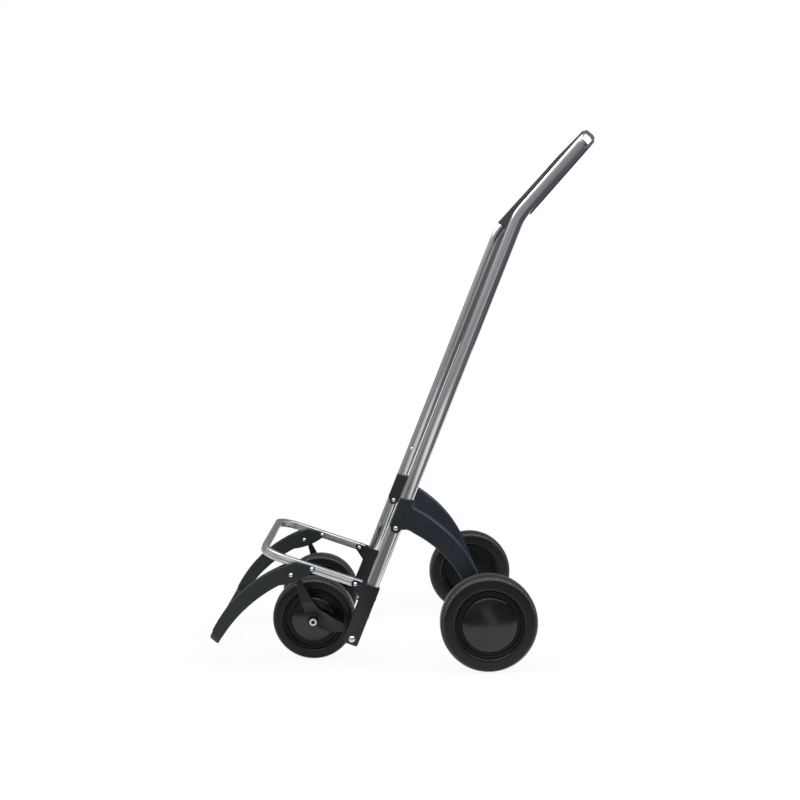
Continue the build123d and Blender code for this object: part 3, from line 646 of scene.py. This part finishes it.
# Stack of moulded cheeks across each leg, and the filled core between them. The core reaches into both
# cheeks and lies just under their outline.
stack = dict(near=139.7, far=160.3, round=2.8, under=0.08, faceInset=0.4)
cheekDepth = np.array([0, 0, 0.05, 0.2, 0.45, 0.8, 1.3, 2, 3])
cheekInset = np.array([stack["faceInset"]] + [0] * (len(cheekDepth) - 1))
coreDepth = np.array([2.5, 3, 3.5, 4.2, 5.2, 7])


def cheeks(outline, side, radii):
    return [layer(outline, side, stack["far"] - cheekDepth, cheekDepth, radii, cheekInset),
            layer(outline, side, stack["near"] + cheekDepth, cheekDepth, radii, cheekInset)]


def core(outline, side, radii):
    across = np.concatenate([stack["near"] + coreDepth, stack["far"] - coreDepth[::-1]])
    return layer(outline, side, across, np.concatenate([coreDepth, coreDepth[::-1]]), radii, stack["under"])


# Foot: a band round the toe, whose two arms end in cheeks on both sides of the rails.
foot = dict(ahead=194, tipTop=(-1.2, 57), tipUnder=(17.8, 48.5), crown=(69.8, 152), peak=(118.35, 4.65),
            root=(133.75, -48.25), underRadius=274, flangeRadius=126, lobe=6, lobeEnd=-70, slotAhead=0.75,
            slotTilt=-6.4, railClear=-7.85, bar=12, armRound=2.8, barRound=5.2, bandTop=0.6, bandTip=0.1,
            bandSteps=40, lineSteps=500, cornerSteps=16, overlap=8, under=0.08, soften=1.2)
toeFront = frontAxle[0] - foot["ahead"]
tipTop, tipUnder, crown = (np.array([toeFront + back, up]) for back, up in
                           (foot["tipTop"], foot["tipUnder"], foot["crown"]))
footRoot = onRail(*foot["root"])
topLine = arcThrough(tipTop, crown, onRail(*foot["peak"]))
underLine = arcBulging(footRoot, tipUnder, -foot["underRadius"])[::-1]
lobe = roundAbout(footPivot, foot["lobe"], 90 - layout["platformRise"], foot["lobeEnd"])
flange = arcBulging(lobe[-1], footRoot, foot["flangeRadius"])
footOutline = evened([topLine, lobe, flange, underLine[::-1]], foot["soften"])
picked = np.linspace(foot["bandTop"], foot["bandTip"], foot["bandSteps"]) * foot["lineSteps"]
picked = picked.astype(int)
topEdge, underEdge = (spaced(line, foot["lineSteps"] + 1)[picked] for line in (topLine, underLine))

# The band's middle line runs down one arm, round a corner, along the toe bar and back up the other arm.
middle = (topEdge + underEdge) / 2
lift = unit(topEdge - underEdge)
toe = (tipTop + tipUnder) / 2 - middle[-1]
cornerRadius = np.linalg.norm(toe) - foot["bar"] / 2
cornerTurn = np.linspace(0, np.pi / 2, foot["cornerSteps"])[1:]
middle = np.concatenate([middle, middle[-1] + unit(toe) * cornerRadius * np.sin(cornerTurn)[:, None]])
lift = np.concatenate([lift, np.broadcast_to(lift[-1], (len(cornerTurn), 2))])
outFlat = np.concatenate([0 * topEdge, unit(toe) * np.sin(cornerTurn)[:, None]])
outAcross = np.concatenate([np.ones(foot["bandSteps"]), np.cos(cornerTurn)])
across = layout["halfWidth"] - cornerRadius * (1 - outAcross)
halfHigh = np.concatenate([np.linalg.norm(topEdge - underEdge, axis=1) / 2,
                           np.full(len(cornerTurn), np.linalg.norm(tipTop - tipUnder) / 2)])
halfThick = (stack["far"] - stack["near"]) / 2 * outAcross + foot["bar"] / 2 * (1 - outAcross)
cornerRound = foot["armRound"] * outAcross + foot["barRound"] * (1 - outAcross)
section = roundedBars(halfHigh - foot["under"], halfThick - foot["under"], cornerRound)
bandFlat = middle[:, None] + section[..., :1] * lift[:, None] + section[..., 1:] * outFlat[:, None]
rightHalf = at(bandFlat, across[:, None] + section[..., 1] * outAcross[:, None])
band = np.concatenate([rightHalf, rightHalf[::-1] * [1, -1, 1]])
footGrids = [gridFaces(band, caps=True)]
bandWay = np.array([lift[0, 1], -lift[0, 0]])
slotWay = polar(1, foot["slotTilt"] + 180)
cheekOutline = clipped(footOutline, middle[0] - bandWay * foot["overlap"], bandWay)
coreOutline = clipped(cheekOutline, footRoot - np.array([foot["slotAhead"], 0]), slotWay)
coreOutline = clipped(coreOutline, onRail(0, foot["railClear"]), -railUp)
for side in sides.values():
    footGrids += cheeks(cheekOutline, side, edgeRadii(cheekOutline, stack["round"]))
    footGrids.append(core(coreOutline, side, np.full(len(coreOutline), stack["round"])))
addPiece("footLoop", footGrids, finishes["foot_plastic"], "foot", ["foot_loop"])
print("foot moulded")

# Rear arms: cheeks round the leg and a filled part behind it, down to the axle. Knee, shin, heel and crook
# are a share of the way from pivot to axle and a distance out from that line.
arm = dict(pivotUp=224.8, lobe=10, cheekUp=57, cheekBackUp=62, rootUp=47.5, front=12.8, back=14, legGap=12.4,
           knee=(0.311, 63.7), shin=(0.735, 44.4), heel=(0.912, -11.6), crook=(0.143, 17.5), hookUp=4.7,
           hookBack=27, notchBack=20, hub=17, underRadius=219, swing=56, hubTop=22, hubUnder=-138, soften=1.4,
           topRound=5.2, topReach=2, topFrom=0.06, topTo=0.86, topEase=8)
armChord = rearAxle - armPivot
armSide = unit(np.array([-armChord[1], armChord[0]]))
knee, shin, heel, crook = (armPivot + armChord * along + armSide * out for along, out in
                           (arm["knee"], arm["shin"], arm["heel"], arm["crook"]))
armRoot = onLeg(arm["pivotUp"] + arm["rootUp"], -arm["back"])
hookTop = arm["pivotUp"] + arm["hookUp"]
armOutline = evened([
    arcThrough(armRoot, knee, shin),
    roundAbout(rearAxle, arm["hub"], arm["hubTop"], arm["hubUnder"]),
    arcBulging(heel, crook, -arm["underRadius"]),
    onLeg(hookTop, -arm["hookBack"]), onLeg(hookTop, -arm["notchBack"]),
    roundAbout(armPivot, arm["lobe"], layout["legLean"] - 90, layout["legLean"] - 270),
    onLeg(arm["pivotUp"], arm["front"]), onLeg(arm["pivotUp"] + arm["cheekUp"], arm["front"]),
    onLeg(arm["pivotUp"] + arm["cheekBackUp"], -arm["back"])], arm["soften"])
topMiddle, topRadius = circleThrough(armRoot, knee, shin)


# Edge radii that are larger along the top arc and ease off towards its ends.
def armRadii(outline):
    along = (outline - armPivot) @ unit(armChord) / np.linalg.norm(armChord)
    offTop = np.linalg.norm(outline - topMiddle, axis=1) - topRadius
    onTop = np.exp(-(offTop / arm["topReach"]) ** 2)
    onTop *= np.clip((along - arm["topFrom"]) * arm["topEase"], 0, 1)
    onTop *= np.clip((arm["topTo"] - along) * arm["topEase"], 0, 1)
    return edgeRadii(outline, stack["round"] + (arm["topRound"] - stack["round"]) * onTop)


armCore = armOutline
for swing in (0, arm["swing"]):
    away = polar(1, layout["legLean"] - 90 + swing)
    armCore = clipped(armCore, armPivot + away * arm["legGap"], away)
for name, side in sides.items():
    armGrids = cheeks(armOutline, side, armRadii(armOutline)) + [core(armCore, side, armRadii(armCore))]
    piece = addPiece(f"rearArm_{name}", armGrids, armBlackPaintedBlueLight, "rear_arms", [f"rear_arm_{name}"])
    piece.visible_glossy = False  # the legs mirror the room there
print("rear arms moulded")

# Wheel brackets: a lever between two edge lines, dished in towards the axle, with an eye at both ends. Its
# corners are measured from the front axle.
lever = dict(nape=(-32.8, 98.8), neck=(-23.5, 94.2), elbow=(12.6, 24.8), elbowRound=22, wrist=(58, 1),
             wristRound=8, heel=(59, -13.9), keel=(27, -16.4), hub=10.5, hubFrom=183, hubTo=268, hubSteps=12,
             endTurn=40, endReach=7, edge=2.4, thick=6.2, steps=140, onFlat=9, hubMiddle=122.6,
             eyeMiddle=146.2, dishStart=14.5, dishEnd=42.5, dishSoft=0.05, boss=9.5, bossNear=122,
             bossFar=130, axle=5.1, strut=(118.95, -22.15), strutEye=8, strutBore=3.05, pivotEye=8.5,
             pivotBore=4.05, eyeNear=143.2, eyeFar=156.8, eyeEdge=0.8, boreEdge=0.3, eyeSteps=64)
nape, neck, elbow, wrist, heel, keel = (frontAxle + np.array(lever[corner]) for corner in
                                        ("nape", "neck", "elbow", "wrist", "heel", "keel"))
innerEnd = bottomPivot + polar(lever["endReach"], lever["endTurn"])
outerEnd = bottomPivot + unit(heel - bottomPivot) * lever["endReach"]
hollow, _ = bentRoute([neck, elbow, wrist, innerEnd], [lever["elbowRound"], lever["wristRound"]])
hollowLine = spaced(hollow, lever["steps"])
hubArc = roundAbout(frontAxle, lever["hub"], lever["hubFrom"], lever["hubTo"], lever["hubSteps"])
crestLine = spaced(np.concatenate([nape[None], hubArc, [keel, heel, outerEnd]]), lever["steps"])
leverMiddle = (hollowLine + crestLine) / 2
leverHalf = np.linalg.norm(hollowLine - crestLine, axis=1) / 2
leverWay = unit(hollowLine - crestLine)
leverSection = roundedBars(leverHalf, np.full(lever["steps"], lever["thick"] / 2),
                           np.full(lever["steps"], lever["edge"]), onFlat=lever["onFlat"])
leverFlat = leverMiddle[:, None] + leverSection[..., :1] * leverWay[:, None]
# the dish is a straight ramp whose two ends are eased by square roots
fromHub = np.linalg.norm(leverFlat - frontAxle, axis=-1) - lever["dishStart"]
reach = fromHub / (lever["dishEnd"] - lever["dishStart"])
soft = lever["dishSoft"] ** 2
ease = (np.sqrt(reach ** 2 + soft) - np.sqrt((reach - 1) ** 2 + soft) + 1) / 2
leverAcross = lever["hubMiddle"] + (lever["eyeMiddle"] - lever["hubMiddle"]) * ease + leverSection[..., 1]


# Ring round a pivot: a rounded rectangle of bore, outer radius, near and far face, turned round it.
def eyeRing(point, side, bore, outer, near, far):
    radii = [lever["boreEdge"], lever["eyeEdge"], lever["eyeEdge"], lever["boreEdge"]]
    section = roundedOutline([(near, bore), (near, outer), (far, outer), (far, bore)], radii, steps=5)
    return gridFaces(turned(point, section * [side, 1], lever["eyeSteps"]), loopRows=True)


# Lower brackets: each is a copy of its node, merged, its flats joined and its edges rounded.
sleeve = dict(round=1, merged=1e-5, flatWithin=0.6, roundFrom=30, roundSteps=3)


def softSleeve(name):
    node = f"lower_bracket_{name}"
    mesh = nodes[node].data.copy()
    work = bmesh.new()
    work.from_mesh(mesh)
    bmesh.ops.remove_doubles(work, verts=work.verts, dist=sleeve["merged"])
    bmesh.ops.dissolve_limit(work, angle_limit=np.radians(sleeve["flatWithin"]), verts=work.verts,
                             edges=work.edges)
    work.to_mesh(mesh)
    work.free()
    mesh.polygons.foreach_set("use_smooth", np.ones(len(mesh.polygons), bool))
    mesh.materials.clear()
    mesh.materials.append(finishes["bracket_plastic"])
    piece = mounted(f"lowerBracket_{name}", mesh, "frame", [node])
    bevel = piece.modifiers.new("roundedEdges", "BEVEL")
    bevel.width = sleeve["round"] / metre
    bevel.segments = sleeve["roundSteps"]
    bevel.angle_limit = np.radians(sleeve["roundFrom"])
    bevel.harden_normals = True


strutPivot = onRail(*lever["strut"])
for name, side in sides.items():
    addPiece(f"wheelBracket_{name}", [
        gridFaces(at(leverFlat, side * leverAcross), caps=True),
        eyeRing(frontAxle, side, lever["axle"], lever["boss"], lever["bossNear"], lever["bossFar"]),
        eyeRing(strutPivot, side, lever["strutBore"], lever["strutEye"], lever["eyeNear"], lever["eyeFar"]),
        eyeRing(bottomPivot, side, lever["pivotBore"], lever["pivotEye"], lever["eyeNear"], lever["eyeFar"])],
        finishes["bracket_plastic"], "fork", [f"wheel_bracket_{name}"])
    softSleeve(name)
print("brackets moulded")

# Camera at the photograph's place, looking slightly down; angles in radians.
view = dict(place=(-0.031833, -1.845525, 0.615209), lens=41.4, sensor=36, yaw=0.0183566, pitch=0.0679949,
            roll=0.0169810)
ahead = np.array([np.sin(view["yaw"]) * np.cos(view["pitch"]), np.cos(view["yaw"]) * np.cos(view["pitch"]),
                  -np.sin(view["pitch"])])
level = np.array([np.cos(view["yaw"]), -np.sin(view["yaw"]), 0])
below = np.cross(ahead, level)
right = np.cos(view["roll"]) * level + np.sin(view["roll"]) * below
down = -np.sin(view["roll"]) * level + np.cos(view["roll"]) * below
optics = bpy.data.cameras.new("camera")
optics.lens = view["lens"]
optics.sensor_width = view["sensor"]
camera = linked("camera", optics)
cameraTurn = Matrix(np.stack([right, -down, -ahead], 1).tolist()).to_4x4()
camera.matrix_world = Matrix.Translation(view["place"]) @ cameraTurn
bpy.context.scene.camera = camera

# Studio: pale paper floor that keeps the shadow, and a white backdrop. Reflections show a room whose tones
# run from the legs' back side to their front side: one run for level directions, one for higher ones and
# one down past the paper's edge. Each band is where one tone gives way to the next.
studio = dict(paper=((-3, -0.5), (1.7, 4)), floorWhite=(0.86, 0.86, 0.76), floorGlow=(0.93, 1.0),
              glowFrom=0.3, glowTo=0.7, fill=0.3, topTone=1.6, ceilingTone=0.35, backTone=0.2, slant=0.9,
              slantLevel=-0.1, levelBand=(-0.075, -0.04), highBand=(0.09, 0.17), softboxBand=(0.36, 0.8),
              softboxEdge=(0.3, 0.5), ceilingBand=(0.84, 0.95), backBand=(0.05, 0.3))
levelTones = [(0.0, (0.20, 0.195, 0.24)), (0.27, (0.23, 0.22, 0.28)), (0.33, (0.15, 0.15, 0.18)),
              (0.43, (0.13, 0.13, 0.16)), (0.442, (0.55, 0.55, 0.57)), (0.455, (0.50, 0.50, 0.51)),
              (0.465, (0.31, 0.32, 0.30)), (0.75, (0.33, 0.34, 0.32)), (1.0, (0.42, 0.42, 0.42))]
highTones = [(0.0, (0.015, 0.015, 0.035)), (0.25, (0.05, 0.05, 0.09)), (0.36, (0.15, 0.15, 0.2)),
             (0.42, (0.27, 0.27, 0.30)), (0.5, (0.35, 0.35, 0.35)), (1.0, (0.42, 0.42, 0.42))]
lowTones = [(0.0, (0.24, 0.235, 0.25)), (0.12, (0.14, 0.14, 0.18)), (0.20, (0.08, 0.08, 0.11)),
            (0.30, (0.16, 0.16, 0.19)), (0.39, (0.20, 0.20, 0.22)), (0.425, (0.20, 0.21, 0.20)),
            (0.435, (0.9, 0.9, 0.88)), (0.472, (0.9, 0.9, 0.88)), (0.49, (0.19, 0.195, 0.185)),
            (1.0, (0.17, 0.17, 0.165))]
floorMesh = bpy.data.meshes.new("floor")
(paperLeft, paperFront), (paperRight, paperBack) = studio["paper"]
floorMesh.from_pydata([(paperLeft, paperFront, 0), (paperRight, paperFront, 0), (paperRight, paperBack, 0),
                       (paperLeft, paperBack, 0)], [], [(0, 1, 2, 3)])
floor = linked("floor", floorMesh)
floorPaper, tree, shader = newMaterial("floorPaper", Roughness=0.9)
shader.inputs["Base Color"].default_value = (*studio["floorWhite"], 1)
path = addNode(tree, "ShaderNodeLightPath")
place = addNode(tree, "ShaderNodeTexCoord")
glow = addNode(tree, "ShaderNodeEmission", Strength=1.0)
# to the camera the paper glows white, a little less near the object, where it keeps the shadow
fromMiddle = addNode(tree, "ShaderNodeVectorMath", operation="LENGTH")
tree.links.new(place.outputs["Object"], fromMiddle.inputs[0])
glowShare = spread(tree, fromMiddle.outputs["Value"], *studio["floorGlow"],
                   start=studio["glowFrom"], end=studio["glowTo"])
seen = addNode(tree, "ShaderNodeMath", operation="MULTIPLY")
tree.links.new(glowShare, seen.inputs[0])
tree.links.new(path.outputs["Is Camera Ray"], seen.inputs[1])
blend = addNode(tree, "ShaderNodeMixShader")
tree.links.new(seen.outputs["Value"], blend.inputs["Fac"])
tree.links.new(shader.outputs["BSDF"], blend.inputs[1])
tree.links.new(glow.outputs["Emission"], blend.inputs[2])
tree.links.new(blend.outputs["Shader"], tree.nodes["Material Output"].inputs["Surface"])
floorMesh.materials.append(floorPaper)

world = bpy.data.worlds.new("studio")
bpy.context.scene.world = world
world.use_nodes = True
tree = world.node_tree
tree.nodes.clear()
path = addNode(tree, "ShaderNodeLightPath")
direction = addNode(tree, "ShaderNodeTexCoord")
parts = addNode(tree, "ShaderNodeSeparateXYZ")
tree.links.new(direction.outputs["Generated"], parts.inputs["Vector"])


# How far a direction leans along a vector.
def leanAlong(vector):
    node = addNode(tree, "ShaderNodeVectorMath", operation="DOT_PRODUCT")
    tree.links.new(direction.outputs["Generated"], node.inputs[0])
    node.inputs[1].default_value = vector
    return node.outputs["Value"]


# Colour ramp through a list of (place, colour) tones.
def toneRun(tones, factor):
    node = addNode(tree, "ShaderNodeValToRGB")
    for position, _ in tones[1:-1]:
        node.color_ramp.elements.new(position)
    for element, (position, colour) in zip(node.color_ramp.elements, tones):
        element.position = position
        element.color = (*colour, 1)
    tree.links.new(factor, node.inputs["Fac"])
    return node.outputs["Color"]


# Two tones mixed while a direction's part crosses a band; a number stands for a grey.
def toneMix(part, band, first, second):
    node = addNode(tree, "ShaderNodeMix", data_type="RGBA")
    share = spread(tree, parts.outputs[part], 0, 1, start=band[0], end=band[1])
    tree.links.new(share, node.inputs["Factor"])
    colourA, colourB, result = node.inputs[6], node.inputs[7], node.outputs[2]
    for socket, tone in ((colourA, first), (colourB, second)):
        if isinstance(tone, float):
            socket.default_value = (tone, tone, tone, 1)
        else:
            tree.links.new(tone, socket)
    return result


# level and high tones follow the lean to the legs' front side; low tones slant with the height as well
forward = spread(tree, leanAlong(at(legFront, 0)), 0, 1, start=-1, end=1)
slantWay = at(legFront, 0) - np.array([0, 0, studio["slant"]])
offset = studio["slant"] * studio["slantLevel"]
lowForward = spread(tree, leanAlong(slantWay), 0, 1, start=-1 - offset, end=1 - offset)
room = toneMix("Z", studio["levelBand"], toneRun(lowTones, lowForward), toneRun(levelTones, forward))
room = toneMix("Z", studio["highBand"], room, toneRun(highTones, forward))
softbox = toneMix("X", studio["softboxEdge"], studio["topTone"], studio["ceilingTone"])
room = toneMix("Z", studio["softboxBand"], room, softbox)
room = toneMix("Z", studio["ceilingBand"], room, studio["ceilingTone"])
room = toneMix("Y", studio["backBand"], room, studio["backTone"])
fill = addNode(tree, "ShaderNodeBackground", Strength=studio["fill"])
backdrop = addNode(tree, "ShaderNodeBackground", Strength=1.0)
mirrored = addNode(tree, "ShaderNodeBackground", Strength=1.0)
tree.links.new(room, mirrored.inputs["Color"])
for node in (fill, backdrop):
    node.inputs["Color"].default_value = (1, 1, 1, 1)
glossy = addNode(tree, "ShaderNodeMixShader")
tree.links.new(path.outputs["Is Glossy Ray"], glossy.inputs["Fac"])
tree.links.new(fill.outputs["Background"], glossy.inputs[1])
tree.links.new(mirrored.outputs["Background"], glossy.inputs[2])
through = addNode(tree, "ShaderNodeMath", operation="MAXIMUM")
tree.links.new(path.outputs["Is Camera Ray"], through.inputs[0])
tree.links.new(path.outputs["Is Transmission Ray"], through.inputs[1])
final = addNode(tree, "ShaderNodeMixShader")
tree.links.new(through.outputs["Value"], final.inputs["Fac"])
tree.links.new(glossy.outputs["Shader"], final.inputs[1])
tree.links.new(backdrop.outputs["Background"], final.inputs[2])
output = addNode(tree, "ShaderNodeOutputWorld")
tree.links.new(final.outputs["Shader"], output.inputs["Surface"])

# Lamps: places, targets and sizes in metres, power in watts.
lamps = {
    "topSoftbox": dict(place=(-0.5, -0.6, 2.6), target=(0, 0, 0.4), size=(2.2, 1.6), power=60,
                       colour=(1, 1, 1)),
    "sideSoftbox": dict(place=(1.7, -0.7, 2.0), target=(0.1, -0.1, 0.2), size=(1.2, 1.2), power=40,
                        colour=(0.58, 0.7, 1)),
}
for name, softLight in lamps.items():
    lamp = bpy.data.lights.new(name, "AREA")
    lamp.shape = "RECTANGLE"
    lamp.size, lamp.size_y = softLight["size"]
    lamp.energy = softLight["power"]
    lamp.color = softLight["colour"]
    back = unit(np.array(softLight["place"], float) - np.array(softLight["target"], float))
    side = unit(np.cross((0.0, 1.0, 0.0), back))
    lampTurn = Matrix(np.stack([side, np.cross(back, side), back], 1).tolist()).to_4x4()
    linked(name, lamp).matrix_world = Matrix.Translation(softLight["place"]) @ lampTurn
print("studio lit")

bpy.context.scene.view_settings.view_transform = "Standard"
